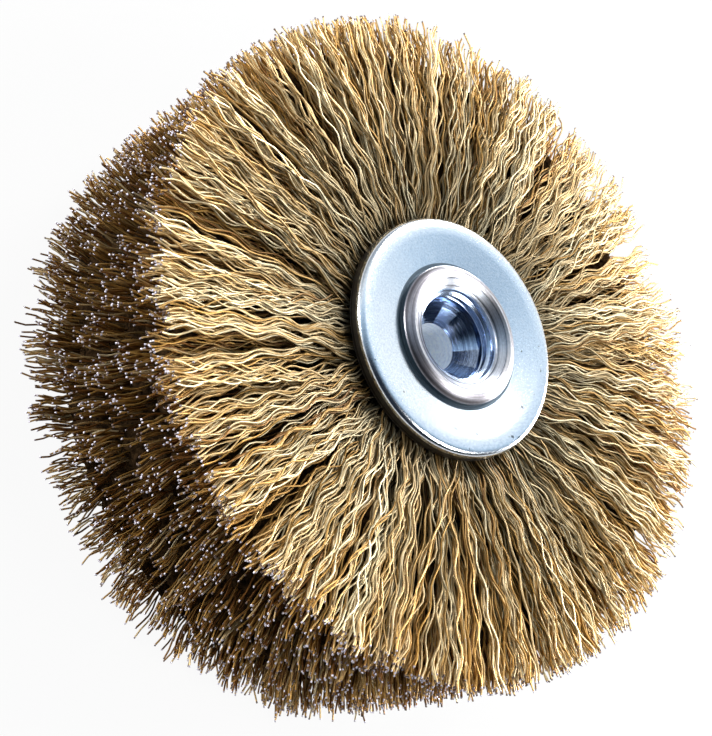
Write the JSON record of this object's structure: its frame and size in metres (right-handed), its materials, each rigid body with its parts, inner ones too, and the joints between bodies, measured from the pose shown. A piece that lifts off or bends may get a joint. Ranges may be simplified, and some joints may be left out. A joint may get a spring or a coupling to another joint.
{
  "type": "wire wheel brush",
  "caption": "Wide wheel brush: rows of crimped brass-coated steel wire fanned between two pressed flanges on a turned hub with a threaded mouth and a through bore.",
  "frame": {"origin": "on the arbor bore's axis, halfway across the brush face", "axes": "+Z along the wheel's axis, towards the flange with the threaded mouth; +X and +Y across the wheel"},
  "size_m": [0.1, 0.1, 0.039],
  "materials": {
    "brass_coated_wire": "satin",
    "zinc_plated_steel": "satin bright",
    "turned_steel": "turned",
    "plain_steel": "mill"
  },
  "bodies": {
    "root": {"hub": "turned_steel", "rear_collar": "turned_steel", "front_flange": "zinc_plated_steel", "rear_flange": "zinc_plated_steel", "wire_row_1": "brass_coated_wire", "retaining_ring_1": "plain_steel", "wire_row_2": "brass_coated_wire", "retaining_ring_2": "plain_steel", "wire_row_3": "brass_coated_wire", "retaining_ring_3": "plain_steel", "wire_row_4": "brass_coated_wire", "retaining_ring_4": "plain_steel", "wire_row_5": "brass_coated_wire", "retaining_ring_5": "plain_steel", "wire_row_6": "brass_coated_wire", "retaining_ring_6": "plain_steel", "divider_washer_1": "plain_steel", "divider_washer_2": "plain_steel", "divider_washer_3": "plain_steel", "divider_washer_4": "plain_steel", "divider_washer_5": "plain_steel"}
  },
  "joints": []
}
